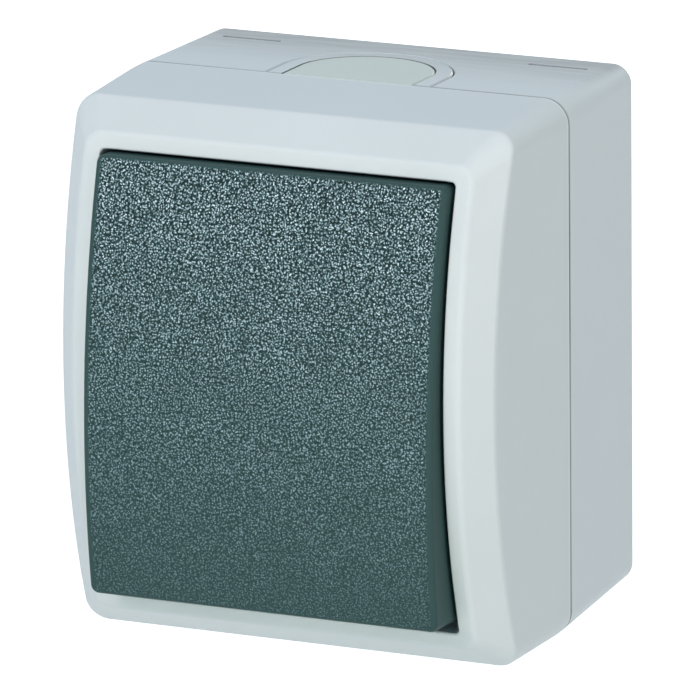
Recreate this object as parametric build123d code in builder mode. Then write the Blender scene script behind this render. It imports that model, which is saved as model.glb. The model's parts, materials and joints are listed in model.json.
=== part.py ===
from build123d import *
import math
import os

# Surface mounted rocker switch for damp rooms, in millimetres.
# The wall is the plane y = 0 and the switch stands out of it towards -Y.
# X runs across the switch and +Z is up. A depth is a distance in front of the wall.

# Outline of the housing, seen from the front
seam_width = 66.0
seam_height = 76.5
seam_corner_radius = 3.6

# Wall box
box_depth = 25.7
box_draft = 2.0
box_wall = 2.4
box_floor = 2.0
rim_edge_radius = 0.25
seam_gap = 0.3
seam_gap_depth = 0.5
back_edge_radius = 0.5
boss_web_thickness = 1.2
boss_web_depth = 16.0
boss_web_reach = 3.0

# Front cover: straight band, drafted walls, bowed rim, bevel and lip
cover_band = 2.4
cover_draft = 2.0
cover_wall = 2.3
rim_crown_depth = 50.3
bow_radius = 100.0
bevel_rise = 4.4
bevel_width = 3.55
lip_corner_radius = 2.3
lip_land_side = 2.35
lip_land_end = 2.25
rim_edge_round = 1.1
lip_edge_round = 1.2
opening_corner_radius = 0.7
opening_edge_round = 0.3
collar_wall = 1.8
well_depth = 36.0
well_floor = 2.0
cover_rib_thickness = 1.2
cover_rib_back = 31.0
cover_rib_place_x = 15.0
cover_rib_place_z = 20.0

# Gasket between the box and the cover
gasket_width = 1.0
gasket_height = 1.1
gasket_inset = 0.65

# Rocker and its tilt: it rests with the top pressed in
axis_depth = 41.8
rest_tilt = 4.3
rocker_side_gap = 0.4
rocker_end_gap = 1.0
rocker_corner_radius = 1.2
rocker_crown_depth = 57.3
rocker_face_radius = 140.0
rocker_skirt_depth = 45.0
rocker_wall = 2.0
rocker_skirt_wall = 1.7
rocker_hollow_radius = 0.3
rocker_edge_round = 0.6
rib_thickness = 1.4

# Cradle that carries the rocker
drum_radius = 8.0
drum_length = 19.4
drum_wall = 1.6
trunnion_radius = 2.0
trunnion_length = 2.8
carrier_width = 30.0
carrier_height = 25.0
carrier_thickness = 2.0
carrier_lift = 4.2
carrier_corner_radius = 1.0
spring_tube_radius = 3.6
spring_tube_reach = 18.0
drum_pocket_height = 9.6
drum_pocket_depth = 10.8
drum_pocket_radius = 0.8
drum_pocket_web = 1.0
clip_width = 8.0
clip_height = 4.2
clip_thickness = 1.4
clip_nose = 1.2
clip_nose_height = 1.8
clip_rib_place = 9.5

# Plunger and toggle spring
plunger_radius = 2.05
plunger_length = 6.0
plunger_nose_radius = 1.4
plunger_nose_round = 1.3
plunger_recess = 0.5
spring_wire = 0.45
spring_turns = 5
spring_bore_end = 6.0

# Support frame and mechanism base
frame_width = 36.0
frame_height = 58.0
frame_corner_radius = 3.0
frame_thickness = 1.2
frame_seat_depth = 21.5
frame_notch_width = 17.0
frame_notch_height = 5.5
stamped_corner_radius = 1.0
base_width = 36.0
base_height = 44.0
base_corner_radius = 1.5
base_back_depth = 8.5

# Bearing tower in front of the mechanism base
tower_plate_width = 28.4
tower_plate_height = 25.0
tower_plate_thickness = 1.6
tower_width = 26.6
tower_height = 22.6
tower_corner_radius = 1.8
tower_wall = 1.6
tower_bore_radius = 0.8
tower_plate_radius = 1.0
tower_depth = 38.4
tower_flange = 2.7
tower_flange_thickness = 1.6
saddle_floor = 1.5
bearing_cheek = 2.8
bearing_cheek_radius = 3.6
bearing_slot = 3.2
snap_leg_width = 3.0
snap_leg_thickness = 1.2
snap_leg_length = 4.0
snap_leg_place = 10.0
window_seal_height = 1.0
window_seal_inset = 0.5

# Contacts and terminals
contact_strip_thickness = 0.8
contact_strip_width = 5.0
contact_strip_depth = 14.35
contact_reach = 8.5
contact_arm = 10.2
contact_axis_depth = 17.5
contact_tip_radius = 1.4
contact_tip_height = 1.0
contact_tip_head = 0.3
contact_end_room = 1.5
contact_strip_margin = 0.4
contact_tilt = 6.45
pivot_post_thickness = 0.8
terminal_inset = 5.0
common_terminal_inset = 7.5
terminal_pocket = 7.6
clamp_width = 6.2
clamp_thickness = 1.2
clamp_corner_radius = 0.6
wire_hole_radius = 1.6
wire_hole_rise = 1.2
screw_tip_room = 3.0

# Screws
terminal_screw_radius = 1.5
terminal_screw_head_radius = 2.8
terminal_screw_head = 2.2
terminal_screw_length = 4.2
frame_screw_radius = 1.5
frame_screw_head_radius = 3.0
frame_screw_head = 2.0
frame_screw_length = 10.0
frame_screw_inset_x = 4.0
frame_screw_inset_z = 3.0
frame_boss_radius = 3.5
cover_screw_radius = 1.5
cover_screw_head_radius = 3.0
cover_screw_head = 2.0
cover_screw_length = 22.0
cover_boss_radius = 3.9
cover_boss_depth = 24.0
cover_boss_gap = 0.3
cover_screw_sink = 1.6
screw_seal_height = 1.0
rivet_radius = 1.1
rivet_head_radius = 1.6
rivet_head = 0.7
rivet_inset = 1.65
rivet_tail_radius = 1.65
rivet_taper = 20.0
screw_slot_width = 0.9
screw_slot_share = 0.5
screw_head_round_share = 0.45
screw_point_inset = 0.4
screw_point_length = 0.5

# Cable entries in the top and bottom walls
entry_radius = 12.4
entry_centre = 6.5
entry_ring = 2.5
entry_flange = 1.3
entry_flange_thickness = 1.2
entry_groove = 0.25
entry_hole_radius = 7.8
membrane_thickness = 1.5
membrane_skin = 0.7
score_arc_radius = 16.1
score_arc_start = 143.0
score_arc_turn = 22.0
score_width = 0.45
score_height = 0.25
back_groove_place = 20.1
back_groove_width = 0.8
back_groove_length = 9.0
back_groove_x = 23.2

# Fixing to the wall
wall_slot_inset_x = 9.0
wall_slot_inset_z = 11.75
wall_slot_length = 8.0
wall_slot_radius = 2.5
wall_pad = 1.8
wall_pad_height = 1.0
knockout_radius = 7.0
knockout_z = 15.0
knockout_groove = 0.7

# Clearances
slide_clearance = 0.15
seam_clearance = 0.2
running_clearance = 0.05
thread_clearance = 0.05
drum_clearance = 0.3
pass_clearance = 0.5
contact_clearance = 0.3

# How far a cutting solid runs past the face it cuts, and how closely an edge is looked for
overcut = 1.0
outline_tolerance = 0.6
bow_tolerance = 0.35

# Worked out from the sizes above
wall_run = (rim_crown_depth - box_depth - cover_band) * math.tan(math.radians(cover_draft))
lip_width = seam_width - 2 * (wall_run + bevel_width)
lip_height = seam_height - 2 * (wall_run + bevel_width)
opening_width = lip_width - 2 * lip_land_side
opening_height = lip_height - 2 * lip_land_end
rocker_width = opening_width - 2 * rocker_side_gap
rocker_height = opening_height - 2 * rocker_end_gap
bevel_turn = math.atan2(bevel_width, bevel_rise)
lip_crown_depth = rim_crown_depth + bevel_rise
frame_front = frame_seat_depth + frame_thickness
half_height = seam_height / 2
draft_angle = math.radians(box_draft)
cover_screw_seat = well_depth - cover_screw_sink
tower_back = frame_seat_depth
strip_floor = contact_strip_depth - contact_strip_thickness
seal_seat = well_depth - well_floor - window_seal_height
cover_screw_x = frame_width / 2 + cover_boss_radius + pass_clearance


def depth_plane(depth):
    """Plane parallel to the wall. Its x is +X, its y is +Z and it faces away from the wall."""
    return Plane.XZ.offset(depth)


def wallward_plane(depth):
    """The same plane, facing the wall, so that its x is -X."""
    return Plane(origin=(0, -depth, 0), x_dir=(-1, 0, 0), z_dir=(0, 1, 0))


def wall_surface_plane(side):
    """Plane on the drafted top (side 1) or bottom (side -1) wall of the box.

    Its origin is in the middle of the seam, its y runs back to the wall and it faces outwards.
    """
    return Plane(origin=(0, -box_depth, side * half_height), x_dir=(side, 0, 0),
                 z_dir=(0, math.sin(draft_angle), side * math.cos(draft_angle)))


# Planes that tilt with the rocker and with the moving contact
tilt = math.radians(rest_tilt)
rocker_plane = Plane(origin=(0, -axis_depth, 0), x_dir=(1, 0, 0), z_dir=(0, -math.cos(tilt), math.sin(tilt)))
rocker_side_plane = Plane(origin=rocker_plane.origin, x_dir=rocker_plane.y_dir, z_dir=rocker_plane.x_dir)
swing = math.radians(contact_tilt)
contact_plane = Plane(origin=(0, -contact_axis_depth, 0), x_dir=(1, 0, 0),
                      z_dir=(0, -math.cos(swing), -math.sin(swing)))


def bowed_block(width, height, radius, back, crown, draft):
    """Drafted block that ends in a face bowed about X, highest at mid height."""
    with BuildPart() as block:
        with BuildSketch(depth_plane(back)):
            RectangleRounded(width, height, radius)
        extrude(amount=crown - back + overcut, taper=draft)
        with BuildSketch(Plane.YZ):
            with Locations((bow_radius - crown, 0)):
                Circle(bow_radius)
        extrude(amount=width, both=True, mode=Mode.INTERSECT)
    return block.part


def front_face(block):
    """The face of a block that lies furthest from the wall."""
    return block.faces().sort_by(Axis.Y)[0]


def cover_form(inset):
    """Outer form of the cover, shrunk all round by an inset: band, drafted walls and bowed bevel."""
    width = seam_width - 2 * inset
    height = seam_height - 2 * inset
    radius = seam_corner_radius - inset
    rim_crown = rim_crown_depth - inset * math.tan(bevel_turn / 2)
    lip_inset = inset * math.tan(math.pi / 4 - bevel_turn / 2)
    band_front = box_depth + cover_band
    walls = bowed_block(width, height, radius, band_front, rim_crown, cover_draft)
    lip = bowed_block(lip_width - 2 * lip_inset, lip_height - 2 * lip_inset, lip_corner_radius - lip_inset,
                      band_front, lip_crown_depth - inset, 0)
    with BuildPart() as form:
        with BuildSketch(depth_plane(box_depth)):
            RectangleRounded(width, height, radius)
        extrude(amount=cover_band)
        add(walls)
        add(Solid.make_loft([front_face(walls).outer_wire(), front_face(lip).outer_wire()], ruled=True))
    return form.part


def bowed_edges(part, crown, width, height):
    """Edges of the bowed outline that reaches the given crown depth and half sizes."""
    def on_outline(edge):
        middle = edge.center()
        bow = crown - bow_radius + math.sqrt(bow_radius ** 2 - middle.Z ** 2)
        at_side = abs(abs(middle.X) - width) < outline_tolerance
        at_end = abs(abs(middle.Z) - height) < outline_tolerance
        return abs(-middle.Y - bow) < bow_tolerance and (at_side or at_end)
    return part.edges().filter_by(on_outline)


def u_outline(radius, reach):
    """U-shaped outline that is open at the seam: a half circle with straight legs."""
    with BuildSketch() as outline:
        with Locations((0, entry_centre)):
            Circle(radius)
        with Locations((0, (entry_centre + reach) / 2)):
            Rectangle(2 * radius, entry_centre - reach)
        with Locations((0, reach + box_depth)):
            Rectangle(3 * box_depth, 2 * box_depth, mode=Mode.INTERSECT)
    return outline.sketch


def screws(points, seat, radius, head_radius, head, length):
    """Pan head screws with a driving slot, seated at one depth."""
    with BuildPart() as screw:
        with BuildSketch(Plane.XZ):
            with BuildLine():
                Polyline((0, -length), (radius - screw_point_inset, -length),
                         (radius, screw_point_length - length), (radius, 0),
                         (head_radius, 0), (head_radius, head), (0, head), close=True)
            make_face()
        revolve(axis=Axis.Z)
        fillet(screw.edges().group_by(Axis.Z)[-1], head * screw_head_round_share)
        with BuildSketch(Plane.XY.offset(head)):
            Rectangle(3 * head_radius, screw_slot_width)
        extrude(amount=-head * screw_slot_share, mode=Mode.SUBTRACT)
    with BuildPart() as group:
        with Locations(*[depth_plane(seat) * Location((x, z, 0)) for x, z in points]):
            add(screw.part)
    return group


# Places that repeat
slot_x = seam_width / 2 - wall_slot_inset_x
slot_z = half_height - wall_slot_inset_z
corner_slots = [(x, z) for x in (-slot_x, slot_x) for z in (-slot_z, slot_z)]
frame_screw_x = frame_width / 2 - frame_screw_inset_x
frame_screw_z = frame_height / 2 - frame_screw_inset_z
frame_screw_points = [(-frame_screw_x, frame_screw_z), (frame_screw_x, -frame_screw_z)]
cover_screw_points = [(-cover_screw_x, 0), (cover_screw_x, 0)]
terminal_place = base_height / 2 - terminal_inset
common_terminal_place = common_terminal_inset - base_width / 2
terminal_points = [(0, terminal_place), (0, -terminal_place), (common_terminal_place, -terminal_place)]
rivet_x = base_width / 2 - rivet_inset
rivet_points = [(-rivet_x, 0), (rivet_x, 0)]

# Wall box: drafted shell with bosses, slotted fixing holes and U-shaped entry openings
with BuildPart() as back_box:
    with BuildSketch(wallward_plane(box_depth)):
        RectangleRounded(seam_width, seam_height, seam_corner_radius)
    extrude(amount=box_depth, taper=box_draft)
    with BuildSketch(wallward_plane(box_depth)):
        RectangleRounded(seam_width + overcut, seam_height + overcut, seam_corner_radius + overcut / 2)
        RectangleRounded(seam_width - 2 * seam_gap_depth, seam_height - 2 * seam_gap_depth,
                         seam_corner_radius - seam_gap_depth, mode=Mode.SUBTRACT)
    extrude(amount=seam_gap, mode=Mode.SUBTRACT)
    rim_step = back_box.faces().filter_by(Axis.Y).sort_by(Axis.Y)[1]
    fillet(rim_step.outer_wire().edges(), rim_edge_radius)
    fillet(back_box.faces().sort_by(Axis.Y)[-1].edges(), back_edge_radius)
    with BuildSketch(wallward_plane(box_depth)):
        RectangleRounded(seam_width - 2 * box_wall, seam_height - 2 * box_wall,
                         seam_corner_radius - box_wall)
    extrude(amount=box_depth - box_floor, taper=box_draft, mode=Mode.SUBTRACT)
    with BuildSketch(depth_plane(box_floor)):
        with Locations(*frame_screw_points):
            Circle(frame_boss_radius)
    extrude(amount=frame_seat_depth - box_floor)
    with BuildSketch(depth_plane(box_floor)):
        with Locations(*cover_screw_points):
            Circle(cover_boss_radius)
    extrude(amount=cover_boss_depth - box_floor)
    with BuildSketch(depth_plane(box_floor)):
        for x, z in frame_screw_points:
            with Locations((x, z + math.copysign((frame_boss_radius + boss_web_reach) / 2, z))):
                Rectangle(boss_web_thickness, frame_boss_radius + boss_web_reach)
        for x, z in cover_screw_points:
            with Locations(((x + math.copysign(seam_width / 2 - box_wall, x)) / 2, z)):
                Rectangle(seam_width / 2 - box_wall - abs(x), boss_web_thickness)
    extrude(amount=boss_web_depth - box_floor)
    with BuildSketch(depth_plane(box_floor)):
        with Locations(*corner_slots):
            SlotOverall(wall_slot_length + 2 * wall_pad, 2 * (wall_slot_radius + wall_pad))
    extrude(amount=wall_pad_height)
    with BuildSketch(depth_plane(0)):
        with Locations(*corner_slots):
            SlotOverall(wall_slot_length, 2 * wall_slot_radius)
    extrude(amount=box_floor + wall_pad_height, mode=Mode.SUBTRACT)
    with BuildSketch(depth_plane(0)):
        with Locations((0, knockout_z)):
            Circle(knockout_radius + knockout_groove)
            Circle(knockout_radius, mode=Mode.SUBTRACT)
    extrude(amount=box_floor / 2, mode=Mode.SUBTRACT)
    with BuildSketch(depth_plane(frame_seat_depth)):
        with Locations(*frame_screw_points):
            Circle(frame_screw_radius + thread_clearance)
    extrude(amount=-frame_screw_length, mode=Mode.SUBTRACT)
    with BuildSketch(depth_plane(cover_boss_depth)):
        with Locations(*cover_screw_points):
            Circle(cover_screw_radius + thread_clearance)
    extrude(amount=cover_screw_seat - cover_screw_length - cover_boss_depth, mode=Mode.SUBTRACT)
    for side in (1, -1):
        wall_surface = wall_surface_plane(side)
        with BuildSketch(wall_surface.offset(overcut)):
            add(u_outline(entry_radius, -overcut))
        extrude(amount=-(box_wall + 2 * overcut), mode=Mode.SUBTRACT)
        with BuildSketch(wall_surface.offset(entry_groove)):
            add(u_outline(entry_radius + 2 * entry_groove, -overcut))
        extrude(amount=-2 * entry_groove, taper=45, mode=Mode.SUBTRACT)
        with BuildSketch(wall_surface.offset(-score_height)):
            SlotArc(CenterArc((0, entry_centre), score_arc_radius, score_arc_start, score_arc_turn),
                    score_width)
            with Locations((-back_groove_x, back_groove_place), (back_groove_x, back_groove_place)):
                SlotOverall(back_groove_length, back_groove_width)
        extrude(amount=2 * overcut, mode=Mode.SUBTRACT)

# Collar that runs from inside the lip back to the floor of the well
with BuildPart() as collar:
    with BuildSketch(depth_plane(well_depth - well_floor)):
        RectangleRounded(opening_width + 2 * collar_wall, opening_height + 2 * collar_wall,
                         opening_corner_radius + collar_wall)
    extrude(amount=lip_crown_depth - well_depth + well_floor)
    add(cover_form(cover_wall / 2), mode=Mode.INTERSECT)

# Ribs that tie the collar to the walls of the cover
with BuildPart() as cover_ribs:
    with BuildSketch(depth_plane(cover_rib_back)):
        with Locations((0, cover_rib_place_z), (0, -cover_rib_place_z)):
            Rectangle(seam_width, cover_rib_thickness)
        with Locations((cover_rib_place_x, 0), (-cover_rib_place_x, 0)):
            Rectangle(cover_rib_thickness, seam_height)
        RectangleRounded(opening_width + collar_wall, opening_height + collar_wall, opening_corner_radius,
                         mode=Mode.SUBTRACT)
    extrude(amount=lip_crown_depth - cover_rib_back)
    add(cover_form(cover_wall / 2), mode=Mode.INTERSECT)

# Front cover: one moulding with its collar, the well round the rocker and the screw bosses
with BuildPart() as front_cover:
    add(cover_form(0))
    fillet(bowed_edges(front_cover, rim_crown_depth, seam_width / 2 - wall_run, half_height - wall_run),
           rim_edge_round)
    fillet(bowed_edges(front_cover, lip_crown_depth, lip_width / 2, lip_height / 2), lip_edge_round)
    add(cover_form(cover_wall), mode=Mode.SUBTRACT)
    add(collar.part)
    add(cover_ribs.part)
    with BuildSketch(depth_plane(cover_boss_depth + cover_boss_gap)):
        with Locations(*cover_screw_points):
            Circle(cover_boss_radius)
    extrude(amount=well_depth - cover_boss_depth - cover_boss_gap)
    with BuildSketch(depth_plane(well_depth)):
        RectangleRounded(opening_width, opening_height, opening_corner_radius)
    extrude(amount=lip_crown_depth, mode=Mode.SUBTRACT)
    with BuildSketch(depth_plane(well_depth - well_floor)):
        RectangleRounded(tower_width + 2 * pass_clearance, tower_height + 2 * pass_clearance,
                         tower_corner_radius + pass_clearance)
    extrude(amount=well_floor, mode=Mode.SUBTRACT)
    with Locations(*[depth_plane(well_depth) * Location((x, z, 0)) for x, z in cover_screw_points]):
        CounterBoreHole(cover_screw_radius + pass_clearance, cover_screw_head_radius + pass_clearance,
                        cover_screw_sink)
    fillet(bowed_edges(front_cover, lip_crown_depth, opening_width / 2, opening_height / 2),
           opening_edge_round)
    fillet(front_cover.faces().sort_by(Axis.Y)[-1].outer_wire().edges(), rim_edge_radius)
    with BuildSketch(depth_plane(box_depth)):
        RectangleRounded(seam_width - 2 * gasket_inset, seam_height - 2 * gasket_inset,
                         seam_corner_radius - gasket_inset)
        RectangleRounded(seam_width - 2 * (gasket_inset + gasket_width),
                         seam_height - 2 * (gasket_inset + gasket_width),
                         seam_corner_radius - gasket_inset - gasket_width, mode=Mode.SUBTRACT)
    extrude(amount=gasket_height, mode=Mode.SUBTRACT)

# Gasket in the groove of the cover's rim
with BuildPart() as cover_gasket:
    with BuildSketch(depth_plane(box_depth)):
        RectangleRounded(seam_width - 2 * gasket_inset, seam_height - 2 * gasket_inset,
                         seam_corner_radius - gasket_inset)
        RectangleRounded(seam_width - 2 * (gasket_inset + gasket_width),
                         seam_height - 2 * (gasket_inset + gasket_width),
                         seam_corner_radius - gasket_inset - gasket_width, mode=Mode.SUBTRACT)
    extrude(amount=gasket_height)


def entry_frame(side):
    """Slide-in frame of a cable entry: flush ring, inner flange and the seat of its membrane."""
    surface = wall_surface_plane(side)
    with BuildPart() as entry:
        with BuildSketch(surface):
            add(u_outline(entry_radius - slide_clearance, seam_clearance))
        extrude(amount=-box_wall - slide_clearance)
        chamfer(entry.faces().sort_by(Axis.Z)[-1 if side > 0 else 0].edges(), entry_groove)
        with BuildSketch(surface.offset(-box_wall - slide_clearance)):
            add(u_outline(entry_radius + entry_flange, seam_clearance))
        extrude(amount=-entry_flange_thickness)
        with BuildSketch(surface):
            add(u_outline(entry_radius - entry_ring, -overcut))
        extrude(amount=-membrane_thickness, mode=Mode.SUBTRACT)
        with BuildSketch(surface):
            with Locations((0, entry_centre)):
                Circle(entry_hole_radius)
        extrude(amount=-2 * box_wall, mode=Mode.SUBTRACT)
    return entry


def entry_membrane(side):
    """Soft insert of a cable entry, with a thin skin in the middle that the cable pierces."""
    surface = wall_surface_plane(side)
    with BuildPart() as membrane:
        with BuildSketch(surface):
            add(u_outline(entry_radius - entry_ring - slide_clearance, seam_clearance))
        extrude(amount=-membrane_thickness)
        chamfer(membrane.faces().sort_by(Axis.Z)[-1 if side > 0 else 0].edges(), entry_groove)
        with BuildSketch(surface.offset(-membrane_skin)):
            with Locations((0, entry_centre)):
                Circle(entry_hole_radius - slide_clearance)
        extrude(amount=-membrane_thickness, mode=Mode.SUBTRACT)
        with BuildSketch(surface.offset(-membrane_skin)):
            with Locations((0, entry_centre)):
                Circle(entry_hole_radius / 2)
                Circle(entry_hole_radius / 2 - membrane_skin, mode=Mode.SUBTRACT)
        extrude(amount=-membrane_skin)
    return membrane


cable_entry_top = entry_frame(1)
cable_entry_bottom = entry_frame(-1)
membrane_top = entry_membrane(1)
membrane_bottom = entry_membrane(-1)

# Stamped support frame, screwed to the bosses of the box
with BuildPart() as support_frame:
    with BuildSketch(depth_plane(frame_seat_depth)):
        RectangleRounded(frame_width, frame_height, frame_corner_radius)
        with Locations((0, (frame_height - frame_notch_height) / 2),
                       (0, (frame_notch_height - frame_height) / 2)):
            Rectangle(frame_notch_width, frame_notch_height, mode=Mode.SUBTRACT)
        RectangleRounded(tower_plate_width + 2 * pass_clearance, tower_plate_height + 2 * pass_clearance,
                         stamped_corner_radius, mode=Mode.SUBTRACT)
        with Locations(*terminal_points):
            Rectangle(terminal_pocket, terminal_pocket, mode=Mode.SUBTRACT)
        with Locations(*frame_screw_points):
            Circle(frame_screw_radius + slide_clearance, mode=Mode.SUBTRACT)
        with Locations(*rivet_points):
            Circle(rivet_radius + running_clearance, mode=Mode.SUBTRACT)
    extrude(amount=frame_thickness)

# Mechanism base: block with the contact chamber, the terminal pockets and the wire holes
with BuildPart() as mechanism_base:
    with BuildSketch(depth_plane(base_back_depth)):
        RectangleRounded(base_width, base_height, base_corner_radius)
    extrude(amount=frame_seat_depth - base_back_depth)
    with BuildSketch(depth_plane(strip_floor)):
        Rectangle(contact_strip_width + 2 * pass_clearance, 2 * (contact_arm + contact_end_room))
        with Locations((common_terminal_place / 2, 0)):
            Rectangle(-common_terminal_place, contact_strip_width + 2 * slide_clearance)
        with Locations((common_terminal_place, -terminal_place / 2)):
            Rectangle(contact_strip_width + 2 * slide_clearance, terminal_place + contact_strip_width)
        Rectangle(contact_strip_width + 2 * slide_clearance, 2 * terminal_place)
        with Locations(*terminal_points):
            Rectangle(terminal_pocket, terminal_pocket)
    extrude(amount=frame_seat_depth, mode=Mode.SUBTRACT)
    with BuildSketch(depth_plane(strip_floor)):
        with Locations(*terminal_points):
            Circle(terminal_screw_radius + pass_clearance)
    extrude(amount=-screw_tip_room, mode=Mode.SUBTRACT)
    with BuildSketch(Plane.XY.offset(-base_height / 2)):
        with Locations((0, -contact_strip_depth - wire_hole_rise),
                       (common_terminal_place, -contact_strip_depth - wire_hole_rise)):
            Circle(wire_hole_radius)
    extrude(amount=base_height / 2 - terminal_place, mode=Mode.SUBTRACT)
    with BuildSketch(Plane.XY.offset(base_height / 2)):
        with Locations((0, -contact_strip_depth - wire_hole_rise)):
            Circle(wire_hole_radius)
    extrude(amount=terminal_place - base_height / 2, mode=Mode.SUBTRACT)
    with BuildSketch(depth_plane(frame_seat_depth)):
        with Locations(*[(x, z) for x in (-snap_leg_place, snap_leg_place)
                         for z in (-tower_plate_height / 2 + snap_leg_thickness,
                                   tower_plate_height / 2 - snap_leg_thickness)]):
            Rectangle(snap_leg_width + 2 * slide_clearance, snap_leg_thickness + 2 * slide_clearance)
    extrude(amount=-snap_leg_length - slide_clearance, mode=Mode.SUBTRACT)
    with BuildSketch(depth_plane(frame_seat_depth)):
        with Locations(*rivet_points):
            Circle(rivet_radius + running_clearance)
    extrude(amount=base_back_depth - frame_seat_depth, mode=Mode.SUBTRACT)

# Rivets that hold the support frame to the base
with BuildPart() as frame_rivets:
    with BuildSketch(depth_plane(base_back_depth)):
        with Locations(*rivet_points):
            Circle(rivet_radius)
    extrude(amount=frame_front - base_back_depth)
    for seat, reach in ((frame_front, rivet_head), (base_back_depth, -rivet_head)):
        with BuildSketch(depth_plane(seat)):
            with Locations(*rivet_points):
                Circle(rivet_head_radius if reach > 0 else rivet_tail_radius)
        extrude(amount=reach, taper=rivet_taper)

# Bearing tower: plate on the base, hollow tower through the well of the cover, saddle and cheeks
with BuildPart() as bearing_tower:
    with BuildSketch(depth_plane(tower_back)):
        RectangleRounded(tower_plate_width, tower_plate_height, tower_plate_radius)
    extrude(amount=tower_plate_thickness)
    with BuildSketch(depth_plane(tower_back)):
        RectangleRounded(tower_width, tower_height, tower_corner_radius)
    extrude(amount=tower_depth - tower_back)
    with BuildSketch(depth_plane(seal_seat - tower_flange_thickness)):
        RectangleRounded(tower_width + 2 * tower_flange, tower_height + 2 * tower_flange,
                         tower_corner_radius + tower_flange)
    extrude(amount=tower_flange_thickness)
    with BuildSketch(depth_plane(tower_depth)):
        for end in (-1, 1):
            with Locations((end * (drum_length + bearing_cheek + 2 * slide_clearance) / 2, 0)):
                Rectangle(bearing_cheek, 2 * bearing_cheek_radius)
    extrude(amount=axis_depth - tower_depth)
    with BuildSketch(Plane.YZ):
        with Locations((-axis_depth, 0)):
            Circle(bearing_cheek_radius)
    inner_cheek = drum_length / 2 + slide_clearance
    extrude(amount=inner_cheek + bearing_cheek, both=True)
    with BuildSketch(depth_plane(tower_depth)):
        Rectangle(2 * inner_cheek, 2 * drum_radius)
    extrude(amount=axis_depth, mode=Mode.SUBTRACT)
    with BuildSketch(Plane.YZ):
        with Locations((-axis_depth, 0)):
            Circle(drum_radius + drum_clearance)
    extrude(amount=inner_cheek, both=True, mode=Mode.SUBTRACT)
    with BuildSketch(depth_plane(tower_back)):
        RectangleRounded(tower_width - 2 * tower_wall, tower_height - 2 * tower_wall, tower_bore_radius)
    extrude(amount=axis_depth - drum_radius - drum_clearance - saddle_floor - tower_back, mode=Mode.SUBTRACT)
    with BuildSketch(depth_plane(tower_back)):
        passage = 2 * (spring_tube_radius + drum_clearance)
        RectangleRounded(passage, passage + 4 * spring_tube_radius * math.sin(tilt) + 2 * drum_clearance,
                         tower_bore_radius)
    extrude(amount=tower_depth - tower_back, mode=Mode.SUBTRACT)
    with BuildSketch(Plane.YZ):
        with Locations((-axis_depth, 0)):
            Circle(trunnion_radius + running_clearance)
    extrude(amount=tower_width, both=True, mode=Mode.SUBTRACT)
    with BuildSketch(depth_plane(axis_depth)):
        Rectangle(tower_width, bearing_slot)
    extrude(amount=2 * bearing_cheek_radius, mode=Mode.SUBTRACT)
    with BuildSketch(depth_plane(tower_back)):
        with Locations(*[(x, z) for x in (-snap_leg_place, snap_leg_place)
                         for z in (-tower_plate_height / 2 + snap_leg_thickness,
                                   tower_plate_height / 2 - snap_leg_thickness)]):
            Rectangle(snap_leg_width, snap_leg_thickness)
    extrude(amount=-snap_leg_length)

# Seal between the tower's flange and the floor of the well
with BuildPart() as window_seal:
    with BuildSketch(depth_plane(seal_seat)):
        RectangleRounded(tower_width + 2 * (tower_flange - window_seal_inset),
                         tower_height + 2 * (tower_flange - window_seal_inset),
                         tower_corner_radius + tower_flange - window_seal_inset)
        RectangleRounded(tower_width + 2 * slide_clearance, tower_height + 2 * slide_clearance,
                         tower_corner_radius, mode=Mode.SUBTRACT)
    extrude(amount=window_seal_height)

# Rocker: bowed shell with skirts, and the ribs that the cradle clips into
rocker_crown = rocker_crown_depth - axis_depth
skirt_back = rocker_skirt_depth - axis_depth
carrier_front = carrier_lift + carrier_thickness


def rocker_block(inset, radius, back, face_drop):
    """Block with the rocker's outline and bowed face, in the rocker's own tilt."""
    with BuildPart() as block:
        with BuildSketch(rocker_plane.offset(back)):
            RectangleRounded(rocker_width - 2 * inset, rocker_height - 2 * inset, radius)
        extrude(amount=rocker_crown)
        with BuildSketch(rocker_side_plane):
            with Locations((0, rocker_crown - rocker_face_radius)):
                Circle(rocker_face_radius - face_drop)
        extrude(amount=rocker_width, both=True, mode=Mode.INTERSECT)
    return block.part


rocker_hollow = rocker_block(rocker_skirt_wall, rocker_hollow_radius, skirt_back, rocker_wall)

with BuildPart() as rocker_ribs:
    with BuildSketch(rocker_plane.offset(carrier_front)):
        with Locations((0, clip_rib_place + rib_thickness / 2), (0, -clip_rib_place - rib_thickness / 2)):
            Rectangle(rocker_width, rib_thickness)
        with Locations((carrier_width / 2 - rib_thickness, 0), (rib_thickness - carrier_width / 2, 0)):
            Rectangle(rib_thickness, rocker_height)
    extrude(amount=rocker_crown)
    with BuildSketch(rocker_plane.offset(carrier_front + clip_height - clip_nose_height - clip_nose / 2)):
        Rectangle(clip_width + 2 * pass_clearance, 3 * clip_rib_place)
    extrude(amount=clip_nose_height + clip_nose, mode=Mode.SUBTRACT)
    add(rocker_hollow, mode=Mode.INTERSECT)

with BuildPart() as rocker:
    add(rocker_block(0, rocker_corner_radius, skirt_back, 0))
    fillet(rocker.faces().sort_by(Axis.Y)[0].edges(), rocker_edge_round)
    add(rocker_hollow, mode=Mode.SUBTRACT)
    add(rocker_ribs.part)

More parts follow.
